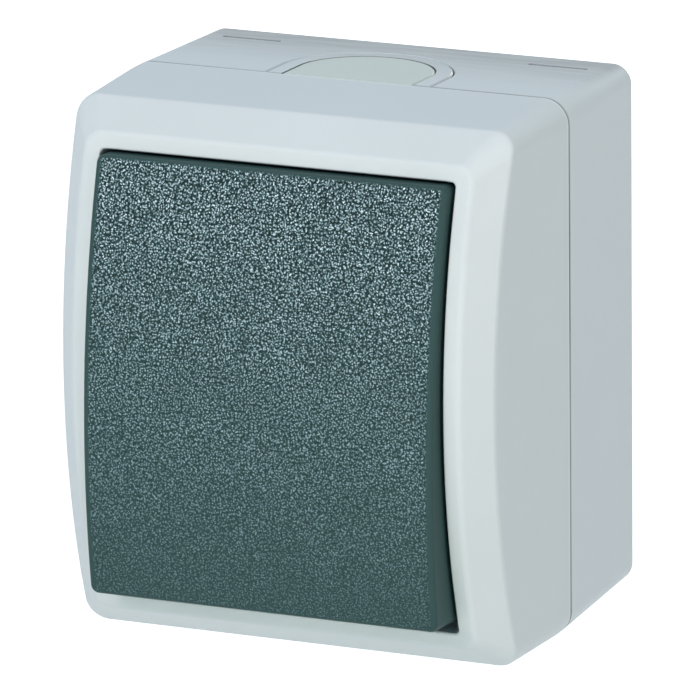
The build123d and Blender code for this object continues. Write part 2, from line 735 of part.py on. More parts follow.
# Rocking cradle: drum with trunnions, spring tube, carrier plate and clips
with BuildPart() as rocking_cradle:
    with BuildSketch(rocker_side_plane):
        Circle(drum_radius)
        with Locations((0, drum_radius + carrier_lift)):
            Rectangle(2 * drum_radius, 2 * drum_radius, mode=Mode.SUBTRACT)
    extrude(amount=drum_length / 2, both=True)
    with BuildSketch(rocker_side_plane):
        Circle(trunnion_radius)
    extrude(amount=drum_length / 2 + trunnion_length, both=True)
    with BuildSketch(rocker_plane.offset(carrier_lift)):
        RectangleRounded(carrier_width, carrier_height, carrier_corner_radius)
    extrude(amount=carrier_thickness)
    with BuildSketch(rocker_plane.offset(carrier_front)):
        pocket_width = drum_length / 2 - drum_wall - spring_tube_radius - drum_pocket_web
        with Locations(((drum_length / 2 - drum_wall) - pocket_width / 2, 0),
                       (pocket_width / 2 - (drum_length / 2 - drum_wall), 0)):
            RectangleRounded(pocket_width, drum_pocket_height, drum_pocket_radius)
    extrude(amount=-drum_pocket_depth, mode=Mode.SUBTRACT)
    with BuildSketch(rocker_plane.offset(-spring_tube_reach)):
        Circle(spring_tube_radius)
    extrude(amount=spring_tube_reach)
    with BuildSketch(rocker_plane.offset(-spring_tube_reach)):
        Circle(plunger_radius + running_clearance)
    extrude(amount=spring_tube_reach - spring_bore_end, mode=Mode.SUBTRACT)
    for end in (-1, 1):
        clip_outer = clip_rib_place - slide_clearance
        with BuildSketch(rocker_side_plane):
            with BuildLine():
                Polyline((end * (clip_outer - clip_thickness), carrier_front),
                         (end * (clip_outer - clip_thickness), carrier_front + clip_height),
                         (end * clip_outer, carrier_front + clip_height),
                         (end * (clip_outer + clip_nose), carrier_front + clip_height - clip_nose),
                         (end * (clip_outer + clip_nose), carrier_front + clip_height - clip_nose_height),
                         (end * clip_outer, carrier_front + clip_height - clip_nose_height),
                         (end * clip_outer, carrier_front), close=True)
            make_face()
        extrude(amount=clip_width / 2, both=True)

# Plunger and toggle spring in the cradle's tube
plunger_seat = plunger_recess - spring_tube_reach
plunger_tip = contact_axis_depth + contact_strip_thickness + contact_clearance - axis_depth
with BuildPart() as spring_plunger:
    with BuildSketch(rocker_plane.offset(plunger_seat)):
        Circle(plunger_radius)
    extrude(amount=plunger_length)
    with BuildSketch(rocker_plane.offset(plunger_tip)):
        Circle(plunger_nose_radius)
    extrude(amount=plunger_seat - plunger_tip)
    fillet(spring_plunger.faces().sort_by(Axis.Y)[-1].edges(), plunger_nose_round)

with BuildPart() as toggle_spring:
    spring_back = plunger_seat + plunger_length + spring_wire / 2 + running_clearance
    spring_front = -spring_bore_end - spring_wire / 2 - running_clearance
    spring_radius = plunger_radius - spring_wire / 2 - running_clearance
    with BuildLine():
        coil = Helix((spring_front - spring_back) / spring_turns, spring_front - spring_back, spring_radius,
                     center=rocker_plane.offset(spring_back).origin, direction=rocker_plane.z_dir)
    with BuildSketch(Plane(origin=coil @ 0, z_dir=coil % 0)):
        Circle(spring_wire / 2)
    sweep(path=coil, is_frenet=True)

# Moving contact: see-saw strip with a contact tip at each end
with BuildPart() as moving_contact:
    with BuildSketch(contact_plane):
        SlotOverall(2 * contact_arm, contact_strip_width, rotation=90)
    extrude(amount=contact_strip_thickness)
    with BuildSketch(contact_plane.offset(-contact_tip_height)):
        with Locations((0, contact_reach), (0, -contact_reach)):
            Circle(contact_tip_radius)
    extrude(amount=contact_tip_height + contact_strip_thickness + contact_tip_head)

# Fixed contacts: flat strips with a tip, and the common strip with the post that the see-saw rocks on
tip_drop = contact_tip_height * math.cos(swing) + (contact_reach + contact_tip_radius) * math.sin(swing)
closed_tip = contact_axis_depth - tip_drop - contact_clearance


def fixed_contact(side):
    """Strip from under the see-saw's tip to the terminal at the same end."""
    with BuildPart() as strip:
        with BuildSketch(depth_plane(strip_floor)):
            inner_end = contact_reach - contact_tip_radius - contact_strip_margin
            outer_end = terminal_place + contact_strip_width / 2
            with Locations((0, side * (inner_end + outer_end) / 2)):
                Rectangle(contact_strip_width, outer_end - inner_end)
        extrude(amount=contact_strip_thickness)
        with BuildSketch(depth_plane(contact_strip_depth)):
            with Locations((0, side * contact_reach)):
                Circle(contact_tip_radius)
        extrude(amount=closed_tip - contact_strip_depth)
        with BuildSketch(depth_plane(strip_floor)):
            with Locations((0, side * terminal_place)):
                Circle(terminal_screw_radius + thread_clearance)
        extrude(amount=contact_strip_thickness, mode=Mode.SUBTRACT)
    return strip


fixed_contact_top = fixed_contact(1)
fixed_contact_bottom = fixed_contact(-1)

with BuildPart() as common_contact:
    with BuildSketch(depth_plane(strip_floor)):
        with Locations(((common_terminal_place + contact_strip_width / 2) / 2 - contact_strip_width / 4, 0)):
            Rectangle(contact_strip_width - common_terminal_place, contact_strip_width)
        with Locations((common_terminal_place, -terminal_place / 2)):
            Rectangle(contact_strip_width, terminal_place + contact_strip_width)
        with Locations((common_terminal_place, -terminal_place)):
            Circle(terminal_screw_radius + thread_clearance, mode=Mode.SUBTRACT)
    extrude(amount=contact_strip_thickness)
    with BuildSketch(depth_plane(contact_strip_depth)):
        Rectangle(contact_strip_width, pivot_post_thickness)
    extrude(amount=contact_axis_depth - contact_clearance - contact_strip_depth)

with BuildPart() as terminal_clamps:
    with BuildSketch(depth_plane(contact_strip_depth)):
        with Locations(*terminal_points):
            RectangleRounded(clamp_width, clamp_width, clamp_corner_radius)
            Circle(terminal_screw_radius + slide_clearance, mode=Mode.SUBTRACT)
    extrude(amount=clamp_thickness)

# Fasteners
terminal_screws = screws(terminal_points, contact_strip_depth + clamp_thickness, terminal_screw_radius,
                         terminal_screw_head_radius, terminal_screw_head, terminal_screw_length)
frame_screws = screws(frame_screw_points, frame_front, frame_screw_radius,
                      frame_screw_head_radius, frame_screw_head, frame_screw_length)
cover_screws = screws(cover_screw_points, cover_screw_seat + screw_seal_height, cover_screw_radius,
                      cover_screw_head_radius, cover_screw_head, cover_screw_length)

with BuildPart() as screw_seals:
    with BuildSketch(depth_plane(cover_screw_seat)):
        with Locations(*cover_screw_points):
            Circle(cover_screw_head_radius)
            Circle(cover_screw_radius + running_clearance, mode=Mode.SUBTRACT)
    extrude(amount=screw_seal_height)

pieces = {
    "back_box": back_box,
    "front_cover": front_cover,
    "cover_gasket": cover_gasket,
    "cable_entry_top": cable_entry_top,
    "cable_entry_bottom": cable_entry_bottom,
    "membrane_top": membrane_top,
    "membrane_bottom": membrane_bottom,
    "support_frame": support_frame,
    "mechanism_base": mechanism_base,
    "frame_rivets": frame_rivets,
    "bearing_tower": bearing_tower,
    "window_seal": window_seal,
    "rocker": rocker,
    "rocking_cradle": rocking_cradle,
    "spring_plunger": spring_plunger,
    "toggle_spring": toggle_spring,
    "moving_contact": moving_contact,
    "fixed_contact_top": fixed_contact_top,
    "fixed_contact_bottom": fixed_contact_bottom,
    "common_contact": common_contact,
    "terminal_clamps": terminal_clamps,
    "terminal_screws": terminal_screws,
    "frame_screws": frame_screws,
    "cover_screws": cover_screws,
    "screw_seals": screw_seals,
}
os.makedirs("parts", exist_ok=True)
for name, piece in pieces.items():
    piece.part.label = name
    export_step(piece.part, f"parts/{name}.step")
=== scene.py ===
# %% [markdown]
# # A surface mounted light switch, dressed for a studio picture
#
# The real object is a grey plastic housing that is screwed to a wall, with a wide dark rocker in its
# front. The CAD model already holds every visible form at its real size, so this script adds no shape
# to it. It does what is left: it gives each piece its finish, and sets up a camera, a floor and soft
# light.
#
# Everything is in metres, in the frame of the CAD model: the wall is the plane y = 0, the switch
# stands out of it towards -Y, and +Z is up.

# %% Load the frame
import json
import math

import bmesh
import bpy
from mathutils import Euler, Matrix, Quaternion, Vector


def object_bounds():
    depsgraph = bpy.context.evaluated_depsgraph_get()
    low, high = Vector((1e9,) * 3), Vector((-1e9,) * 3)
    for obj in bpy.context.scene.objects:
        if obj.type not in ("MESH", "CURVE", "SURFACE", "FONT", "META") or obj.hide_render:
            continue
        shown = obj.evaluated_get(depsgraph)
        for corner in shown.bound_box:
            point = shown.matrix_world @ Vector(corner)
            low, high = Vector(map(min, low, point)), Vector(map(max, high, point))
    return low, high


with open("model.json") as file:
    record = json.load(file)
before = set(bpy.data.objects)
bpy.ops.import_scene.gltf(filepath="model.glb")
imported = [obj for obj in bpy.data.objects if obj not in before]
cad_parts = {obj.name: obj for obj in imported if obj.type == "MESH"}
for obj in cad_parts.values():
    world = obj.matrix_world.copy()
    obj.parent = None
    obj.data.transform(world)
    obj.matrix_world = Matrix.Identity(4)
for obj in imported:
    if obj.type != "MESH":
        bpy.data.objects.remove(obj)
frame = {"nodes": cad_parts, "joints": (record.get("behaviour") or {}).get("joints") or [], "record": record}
cad_low, cad_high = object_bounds()
nodes = frame["nodes"]
print("CAD box in mm:", [round(1000 * v, 1) for v in (cad_high - cad_low)])

# %% [markdown]
# ## The camera
#
# The photograph was taken with a long lens, a little from the right and from above. A camera could
# be placed by eye, but the outlines of the housing give its place exactly: its yaw, pitch and slight
# roll, and a focal length in the same square frame. A long lens far away keeps the edges nearly
# parallel, as they are in the picture.

# %% Camera
MM = 0.001
CAMERA_PLACE = Vector((483.96, -1130.10, 333.47)) * MM
CAMERA_YAW = math.radians(23.67)
CAMERA_PITCH = math.radians(15.46)
CAMERA_ROLL = math.radians(-0.635)
FOCAL_LENGTH = 466.9
SENSOR_WIDTH = 36.0
NEAR_CLIP = 0.05
FAR_CLIP = 20.0

scene = bpy.context.scene
camera_data = bpy.data.cameras.new("camera")
camera_data.lens = FOCAL_LENGTH
camera_data.sensor_width = SENSOR_WIDTH
camera_data.clip_start = NEAR_CLIP
camera_data.clip_end = FAR_CLIP
camera = bpy.data.objects.new("camera", camera_data)
camera.location = CAMERA_PLACE
camera.rotation_mode = "QUATERNION"
level = Euler((math.pi / 2 - CAMERA_PITCH, 0.0, CAMERA_YAW)).to_quaternion()
camera.rotation_quaternion = level @ Quaternion((0.0, 0.0, 1.0), CAMERA_ROLL)
scene.collection.objects.link(camera)
scene.camera = camera
scene.view_settings.view_transform = "Standard"
print("Camera at", [round(v, 3) for v in CAMERA_PLACE])

# %% [markdown]
# ## A few helpers for materials
#
# Every finish here is made of the same few building blocks: a noise field on object coordinates, a
# colour ramp or a range of values drawn from it, and a bump. Helpers with short names keep each
# recipe readable. Object coordinates are in metres, so a noise scale of 1000 gives features of about
# a millimetre on every piece, whatever its size. A noise field seldom leaves the range from 0.3 to
# 0.7, so that is what the helpers stretch when nothing else is asked.

# %% Helpers for node materials
NOISE_LOW = 0.3
NOISE_HIGH = 0.7


def new_material(name, roughness, specular=0.5, metallic=0.0):
    """A material with one Principled shader, and the constants that are the same all over."""
    material = bpy.data.materials.new(name)
    material.use_nodes = True
    shader = material.node_tree.nodes["Principled BSDF"]
    shader.inputs["Roughness"].default_value = roughness
    shader.inputs["Specular IOR Level"].default_value = specular
    shader.inputs["Metallic"].default_value = metallic
    return material, material.node_tree, shader


def node(tree, kind, **settings):
    """A new node with some of its settings or inputs given by name."""
    made = tree.nodes.new(kind)
    for name, value in settings.items():
        if hasattr(made, name):
            setattr(made, name, value)
        else:
            made.inputs[name.replace("_", " ")].default_value = value
    return made


def object_coordinates(tree):
    """The place on the piece, in metres in its own frame."""
    return node(tree, "ShaderNodeTexCoord").outputs["Object"]


def split_axes(tree, vector):
    """A node whose outputs X, Y and Z are the parts of a vector."""
    axes = node(tree, "ShaderNodeSeparateXYZ")
    tree.links.new(vector, axes.inputs["Vector"])
    return axes


def noise(tree, place, scale, detail=2.0, roughness=0.5):
    """A noise field whose features are about 1 / scale metres wide."""
    field = node(tree, "ShaderNodeTexNoise", Scale=scale, Detail=detail, Roughness=roughness)
    tree.links.new(place, field.inputs["Vector"])
    return field.outputs["Fac"]


def squeezed(tree, place, factors):
    """Coordinates times a factor along each axis, which squeezes or draws out what reads them."""
    mapped = node(tree, "ShaderNodeMapping")
    mapped.inputs["Scale"].default_value = factors
    tree.links.new(place, mapped.inputs["Vector"])
    return mapped.outputs["Vector"]


def span(tree, value, low, high, start=NOISE_LOW, end=NOISE_HIGH):
    """Maps a field from start..end to low..high."""
    mapped = node(tree, "ShaderNodeMapRange")
    for name, number in (("From Min", start), ("From Max", end), ("To Min", low), ("To Max", high)):
        mapped.inputs[name].default_value = number
    tree.links.new(value, mapped.inputs["Value"])
    return mapped.outputs["Result"]


def multiply(tree, first, second):
    """The product of two fields."""
    made = node(tree, "ShaderNodeMath", operation="MULTIPLY")
    tree.links.new(first, made.inputs[0])
    tree.links.new(second, made.inputs[1])
    return made.outputs["Value"]


def color_ramp(tree, value, steps):
    """A colour that goes through steps of (position, colour) as a field grows."""
    ramp = node(tree, "ShaderNodeValToRGB")
    stops = ramp.color_ramp.elements
    for index, (position, color) in enumerate(steps):
        stop = stops[index] if index < 2 else stops.new(position)
        stop.position = position
        stop.color = (*color, 1.0)
    tree.links.new(value, ramp.inputs["Fac"])
    return ramp.outputs["Color"]


def bump(tree, height, distance, under=None):
    """A bump of the given depth in metres, on top of another one if that is given."""
    made = node(tree, "ShaderNodeBump", Strength=1.0, Distance=distance)
    tree.links.new(height, made.inputs["Height"])
    if under is not None:
        tree.links.new(under, made.inputs["Normal"])
    return made.outputs["Normal"]


def srgb(red, green, blue):
    """A colour given as 0..255 display values, turned linear."""
    def linear(value):
        value = value / 255
        if value <= 0.04045:
            return value / 12.92
        return ((value + 0.055) / 1.055) ** 2.4
    return (linear(red), linear(green), linear(blue))


# %% [markdown]
# ## The housing plastic
#
# The box and the cover are moulded in nearly the same light grey plastic. It is satin: highlights are
# broad and soft, and from close up the skin has a very fine spark-eroded grain. A flat grey would look
# like paper, so noise fields are layered: a wide one that lets the colour and the gloss drift a
# little, as they do where the melt flowed, a slow waviness, and a fine one for the grain.

# %% Moulded plastic
PLASTIC_SHINE = 0.1
DRIFT_SCALE = 45.0
GLOSSIER_SHARE = 0.9
DULLER_SHARE = 1.12
WAVE_SCALE = 90.0
WAVE_DEPTH = 1.2e-4


def moulded_plastic(name, color, roughness, drift_share=0.04, grain=1400.0, depth=4e-6, painted_light=None):
    """Moulded plastic with drift, waves and a fine grain, and with any painted shade or highlight that the
    last argument adds to its colour.
    """
    material, tree, shader = new_material(name, roughness, specular=PLASTIC_SHINE)
    place = object_coordinates(tree)
    drift = noise(tree, place, DRIFT_SCALE, detail=3.0)
    darker = tuple((1.0 - drift_share) * value for value in color)
    tint = color_ramp(tree, drift, ((NOISE_LOW, darker), (NOISE_HIGH, color)))
    # Painted shade and painted highlights, when given, are multiplied into the colour here.
    if painted_light is not None:
        tint = painted_light(tree, place, tint)
    tree.links.new(tint, shader.inputs["Base Color"])
    gloss = span(tree, drift, roughness * GLOSSIER_SHARE, roughness * DULLER_SHARE)
    tree.links.new(gloss, shader.inputs["Roughness"])
    waves = bump(tree, noise(tree, place, WAVE_SCALE, detail=1.0), WAVE_DEPTH)
    skin = noise(tree, place, grain, detail=3.0, roughness=0.6)
    tree.links.new(bump(tree, skin, depth, under=waves), shader.inputs["Normal"])
    return material


# %% [markdown]
# ## Painted shade in the grooves
#
# The colour is darkened in the grooves as painted shade, where less light falls. A mask does it for
# every view at once. Ambient occlusion finds the grooves, because a point deep in one sees little of
# the open air within a millimetre.

# %% Painted groove shade
GROOVE_REACH = 0.8 * MM
GROOVE_SHADE = 0.34
GROOVE_DEEP = 0.45
GROOVE_OPEN = 0.85
OCCLUSION_SAMPLES = 8


def painted_groove_shade(tree):
    """Less than one where the surface lies deep in a groove: painted shade."""
    hollow = node(tree, "ShaderNodeAmbientOcclusion", samples=OCCLUSION_SAMPLES, Distance=GROOVE_REACH)
    return span(tree, hollow.outputs["AO"], GROOVE_SHADE, 1.0, GROOVE_DEEP, GROOVE_OPEN)


def shaded(tree, color, shade):
    """A colour times a field."""
    product = node(tree, "ShaderNodeMix", data_type="RGBA", blend_type="MULTIPLY")
    product.inputs["Factor"].default_value = 1.0
    tree.links.new(color, product.inputs[6])
    tree.links.new(shade, product.inputs[7])
    return product.outputs[2]


# %% [markdown]
# ## Painted shade at the seam, and a painted highlight beside it
#
# The colour of the box is darkened along the seam between box and cover as painted shade, more in
# some places than in others, and the cover's edge beside it is lightened as a painted highlight. The
# seam runs along a plane of constant y, so a range of y is all that finds it, and noise makes the
# painted shade uneven.

# %% Painted seam shade and edge highlight
SEAM_DEEP = -25.3 * MM
SEAM_CLEAR = -25.02 * MM
SEAM_SHADE = 0.26
# Noise that makes the painted seam shade uneven, and its weakest share.
SEAM_SHADE_PATCH_SCALE = 30.0
LEAST_SEAM_SHADE_SHARE = 0.35
# Where the cover's edge beside the seam is lightened as a painted highlight, and by how much.
PAINTED_HIGHLIGHT_START = SEAM_DEEP - 1.0 * MM
PAINTED_HIGHLIGHT_FULL = SEAM_DEEP - 0.7 * MM
EDGE_PAINTED_HIGHLIGHT = 1.1


def painted_seam_shade(tree, place, axes):
    """Less than one at the seam of the box, unevenly along it: painted shade."""
    seam = node(tree, "ShaderNodeMix", A=1.0)
    seam_band_shade = span(tree, axes.outputs["Y"], SEAM_SHADE, 1.0, SEAM_DEEP, SEAM_CLEAR)
    tree.links.new(seam_band_shade, seam.inputs["B"])
    tree.links.new(span(tree, noise(tree, place, SEAM_SHADE_PATCH_SCALE), LEAST_SEAM_SHADE_SHARE, 1.0), seam.inputs["Factor"])
    return seam.outputs["Result"]


def cover_painted_shade_and_highlight(tree, place, color):
    """Painted shade in the cover's grooves, and a painted highlight on its edge beside the seam."""
    axes = split_axes(tree, place)
    # The cover's edge beside the seam is lightened here as a painted highlight.
    gleam = span(tree, axes.outputs["Y"], 1.0, EDGE_PAINTED_HIGHLIGHT, PAINTED_HIGHLIGHT_START, PAINTED_HIGHLIGHT_FULL)
    return shaded(tree, color, multiply(tree, painted_groove_shade(tree), gleam))


# %% [markdown]
# ## Painted reflection on the upper side
#
# The upper side is darkened next to the wall as a painted dark reflection, in streaks that run along
# it. The way a surface faces says what is the upper side, the distance from the wall says how dark it
# is painted, and noise that is drawn out along X makes the streaks.

# %% Painted reflection and the box's painted shade
# How wide and how dark the painted dark reflection next to the wall is.
BACK_SHADE_WIDTH = 22.0 * MM
BACK_SHADE = 0.6
BACK_SHADE_GATHERING = 1.4
STREAK_SCALE = 700.0
STREAK_DRAW = (0.12, 1.0, 1.0)
FAINT_STREAK = 0.7
STRONG_STREAK = 1.2
SIDEWAYS = 0.75
UPWARDS = 0.98


def painted_wall_reflection(tree, place, axes):
    """Less than one on the upper side, more so nearer to the wall: a painted dark reflection."""
    nearness = node(tree, "ShaderNodeMath", operation="POWER")
    tree.links.new(span(tree, axes.outputs["Y"], 0.0, 1.0, -BACK_SHADE_WIDTH, 0.0), nearness.inputs[0])
    nearness.inputs[1].default_value = BACK_SHADE_GATHERING
    facing = split_axes(tree, node(tree, "ShaderNodeTexCoord").outputs["Normal"])
    upper = span(tree, facing.outputs["Z"], 0.0, 1.0, SIDEWAYS, UPWARDS)
    drawn_out = noise(tree, squeezed(tree, place, STREAK_DRAW), STREAK_SCALE)
    streaks = span(tree, drawn_out, FAINT_STREAK, STRONG_STREAK)
    amount = multiply(tree, multiply(tree, nearness.outputs["Value"], upper), streaks)
    return span(tree, amount, 1.0, BACK_SHADE, 0.0, 1.0)


def box_painted_shade(tree, place, color):
    """Painted shade in the box's grooves and at its seam, and a painted dark reflection on its upper side.
    """
    axes = split_axes(tree, place)
    joints = multiply(tree, painted_groove_shade(tree), painted_seam_shade(tree, place, axes))
    return shaded(tree, color, multiply(tree, joints, painted_wall_reflection(tree, place, axes)))


# %% [markdown]
# ## Box and cover
#
# The two come from different moulds, so the cover is given a trace lighter and duller skin. The same
# values could serve both, but then the seam would be the only thing that tells them apart.

# %% The two housing plastics
BOX_COLOR = srgb(219, 227, 230)
COVER_COLOR = srgb(223, 230, 232)
BOX_ROUGHNESS = 0.38
COVER_ROUGHNESS = 0.42
box_plastic = moulded_plastic("box_plastic", BOX_COLOR, BOX_ROUGHNESS, painted_light=box_painted_shade)
cover_plastic = moulded_plastic("cover_plastic", COVER_COLOR, COVER_ROUGHNESS, painted_light=cover_painted_shade_and_highlight)
print("Housing plastics:", box_plastic.name, cover_plastic.name)

# %% [markdown]
# ## The rocker's own frame
#
# The rocker rests tilted by half of its travel. Its grain follows its face, so the coordinates are
# first turned back about the hinge, until the face stands upright. A UV map could do the same, but the
# CAD model gives the hinge and its travel, and they need no map.

# %% Coordinates of the rocker
tilt_joint = next(joint for joint in frame["joints"] if joint["name"] == "rocker_tilt")
ROCKER_AXIS = Vector(tilt_joint["pos_m"])
ROCKER_TILT = math.radians(tilt_joint["range_deg"][1] / 2)


def rocker_coordinates(tree):
    """Object coordinates turned about the rocker's axis, so that its face stands upright."""
    turn = Matrix.Rotation(ROCKER_TILT, 3, "X")
    mapped = node(tree, "ShaderNodeMapping")
    mapped.inputs["Rotation"].default_value = (ROCKER_TILT, 0.0, 0.0)
    mapped.inputs["Location"].default_value = -(turn @ ROCKER_AXIS)
    tree.links.new(object_coordinates(tree), mapped.inputs["Vector"])
    return mapped.outputs["Vector"]


print("Rocker tilt in degrees:", round(math.degrees(ROCKER_TILT), 2))

# %% [markdown]
# ## Where the face is grained
#
# The grain stops about a millimetre before the edges and leaves a smooth, darker frame. In the
# rocker's own frame that is a rectangle, so two masks that fade out at a distance from the middle,
# one across and one upright, are enough. The grain also gets fainter towards the bottom, as painted
# light: its glints are painted brighter towards the top.

# %% Mask for the grain
GRAIN_HALF_WIDTH = 25.3 * MM
GRAIN_HALF_HEIGHT = 30.5 * MM
GRAIN_FADE = 0.5 * MM
# Painted light: the grain's strength at the bottom and at the top of the face.
LOW_GRAIN = 0.18
HIGH_GRAIN = 1.08


def inside(tree, coordinate, half_size):
    """One inside a distance from the middle, falling to nothing over the fade."""
    far = node(tree, "ShaderNodeMath", operation="ABSOLUTE")
    tree.links.new(coordinate, far.inputs[0])
    mapped = node(tree, "ShaderNodeMapRange", interpolation_type="SMOOTHSTEP")
    mapped.inputs["From Min"].default_value = half_size
    mapped.inputs["From Max"].default_value = half_size - GRAIN_FADE
    tree.links.new(far.outputs["Value"], mapped.inputs["Value"])
    return mapped.outputs["Result"]


def grained(tree, axes):
    """How strong the grain is: nothing in the smooth frame, and more towards the top as painted light."""
    field = multiply(tree, inside(tree, axes.outputs["X"], GRAIN_HALF_WIDTH),
                     inside(tree, axes.outputs["Z"], GRAIN_HALF_HEIGHT))
    # Painted light: the grain's glints grow brighter towards the top, as if lit from above.
    painted_top_light = span(tree, axes.outputs["Z"], LOW_GRAIN, HIGH_GRAIN, -GRAIN_HALF_HEIGHT, GRAIN_HALF_HEIGHT)
    return multiply(tree, field, painted_top_light)


# %% [markdown]
# ## The height of the grain
#
# The face sparkles like very fine leather. Its grain is far too small to model, so it is drawn as a
# height field: round domes from a Voronoi field, half mixed with noise so that no two are alike. A
# wider noise makes some patches a trace higher than others.

# %% Height field of the grain
SMOOTH_LEVEL = 0.42
CELL_SCALE = 2800.0
CELL_REACH = 0.75
DOME_TOP = 0.74
DOME_FOOT = 0.26
RIPPLE_SCALE = 4200.0
RIPPLE_SHARE = 0.5
PEBBLE_LOW = 0.36
PEBBLE_HIGH = 0.678
PATCH_SCALE = 160.0
PATCH_LOW = 0.35
PATCH_HIGH = 0.65
FAINT_PATCH = 0.97
STRONG_PATCH = 1.03


def pebbles(tree, place, axes):
    """Small round domes, mixed with ripples."""
    flat = node(tree, "ShaderNodeCombineXYZ")
    tree.links.new(axes.outputs["X"], flat.inputs["X"])
    tree.links.new(axes.outputs["Z"], flat.inputs["Y"])
    cells = node(tree, "ShaderNodeTexVoronoi", voronoi_dimensions="2D", Scale=CELL_SCALE, Randomness=1.0)
    tree.links.new(flat.outputs["Vector"], cells.inputs["Vector"])
    mixed = node(tree, "ShaderNodeMix", Factor=RIPPLE_SHARE)
    domes = span(tree, cells.outputs["Distance"], DOME_TOP, DOME_FOOT, 0.0, CELL_REACH)
    tree.links.new(domes, mixed.inputs["A"])
    tree.links.new(noise(tree, place, RIPPLE_SCALE, detail=1.0), mixed.inputs["B"])
    return mixed.outputs["Result"]


def grain_height(tree, place, axes):
    """The height of the grain, and one plain level in the smooth frame."""
    peaks = span(tree, pebbles(tree, place, axes), 0.0, 1.0, PEBBLE_LOW, PEBBLE_HIGH)
    spread = noise(tree, place, PATCH_SCALE)
    patches = span(tree, spread, FAINT_PATCH, STRONG_PATCH, PATCH_LOW, PATCH_HIGH)
    skin = node(tree, "ShaderNodeMix", A=SMOOTH_LEVEL)
    tree.links.new(grained(tree, axes), skin.inputs["Factor"])
    tree.links.new(multiply(tree, peaks, patches), skin.inputs["B"])
    return skin.outputs["Result"]


# %% [markdown]
# ## The rocker's finish
#
# The rocker is dark blue-green grey. A bump alone would be lost at this distance, so the same height
# also drives the colour from the pits to the crests, the metallic gleam of the crests, and the gloss.
# The dark pits are painted shade, and the light slopes and crests are painted glints.

# %% Rocker material
# Painted shade in the pits, the rocker's own colour, and painted glints on the slopes and crests.
PAINTED_PIT_SHADE = srgb(18, 36, 38)
ROCKER_COLOR = srgb(54, 79, 79)
PAINTED_SLOPE_GLINT = srgb(130, 155, 163)
PAINTED_CREST_GLINT = srgb(190, 208, 217)
SLOPE_LEVEL = 0.62
CREST_LEVEL = 0.95
METAL_LEVEL = 0.55
CREST_METAL = 0.9
GLOSS_LEVEL = 0.9
SMOOTH_ROUGHNESS = 0.42
CREST_ROUGHNESS = 0.34
GRAIN_DEPTH = 8e-5


def rocker_plastic():
    """Dark plastic with a grain inside a smooth frame, with painted glints on its crests and painted shade
    in its pits.
    """
    material, tree, shader = new_material("rocker_plastic", SMOOTH_ROUGHNESS, specular=PLASTIC_SHINE)
    place = rocker_coordinates(tree)
    height = grain_height(tree, place, split_axes(tree, place))
    # The colour goes from painted pit shade through the rocker's own colour to painted glints.
    steps = ((0.0, PAINTED_PIT_SHADE), (SMOOTH_LEVEL, ROCKER_COLOR),
             (SLOPE_LEVEL, PAINTED_SLOPE_GLINT), (CREST_LEVEL, PAINTED_CREST_GLINT))
    tree.links.new(color_ramp(tree, height, steps), shader.inputs["Base Color"])
    gleam = span(tree, height, 0.0, CREST_METAL, METAL_LEVEL, CREST_LEVEL)
    tree.links.new(gleam, shader.inputs["Metallic"])
    gloss = span(tree, height, SMOOTH_ROUGHNESS, CREST_ROUGHNESS, SMOOTH_LEVEL, GLOSS_LEVEL)
    tree.links.new(gloss, shader.inputs["Roughness"])
    tree.links.new(bump(tree, height, GRAIN_DEPTH), shader.inputs["Normal"])
    return material


rocker_finish = rocker_plastic()
print("Rocker finish:", rocker_finish.name)

# %% [markdown]
# ## The metal inside
#
# The metals are zinc plated steel, drawn wire and brass. They only show when the switch is opened, but
# they are finished all the same. Rolled and drawn metal has fine lines in one direction: a noise field
# that is squeezed along one axis makes them, and a wider one adds a little tarnish.

# %% Rolled and plated metal
LINE_SCALE = 900.0
LINE_DEPTH = 3e-6
TARNISH_SCALE = 160.0
TARNISH_SHARE = 0.8
POLISHED_SHARE = 0.75
SCRATCHED_SHARE = 1.3
ACROSS_HEIGHT = (1.0, 1.0, 12.0)
ALONG_SCREW = (6.0, 1.0, 6.0)
ACROSS_DEPTH = (1.0, 6.0, 1.0)


def worked_metal(name, color, roughness, squeeze=ACROSS_HEIGHT):
    """Metal with fine lines in one direction and a little tarnish."""
    material, tree, shader = new_material(name, roughness, metallic=1.0)
    place = object_coordinates(tree)
    lines = noise(tree, squeezed(tree, place, squeeze), LINE_SCALE, detail=4.0, roughness=0.65)
    tarnish = noise(tree, place, TARNISH_SCALE, detail=3.0)
    dull = tuple(TARNISH_SHARE * value for value in color)
    tint = color_ramp(tree, tarnish, ((NOISE_LOW, dull), (NOISE_HIGH, color)))
    tree.links.new(tint, shader.inputs["Base Color"])
    gloss = span(tree, lines, roughness * POLISHED_SHARE, roughness * SCRATCHED_SHARE)
    tree.links.new(gloss, shader.inputs["Roughness"])
    tree.links.new(bump(tree, lines, LINE_DEPTH), shader.inputs["Normal"])
    return material


# %% [markdown]
# ## All finishes by slot
#
# The inserts in the cable entries are a soft greenish rubber, the seals a dark one. The base and the
# tower are off-white insulation, and the cradle is a harder grey plastic. They share the recipe of the
# housing plastic, each with its own drift and grain. The slot names are those of the CAD model.

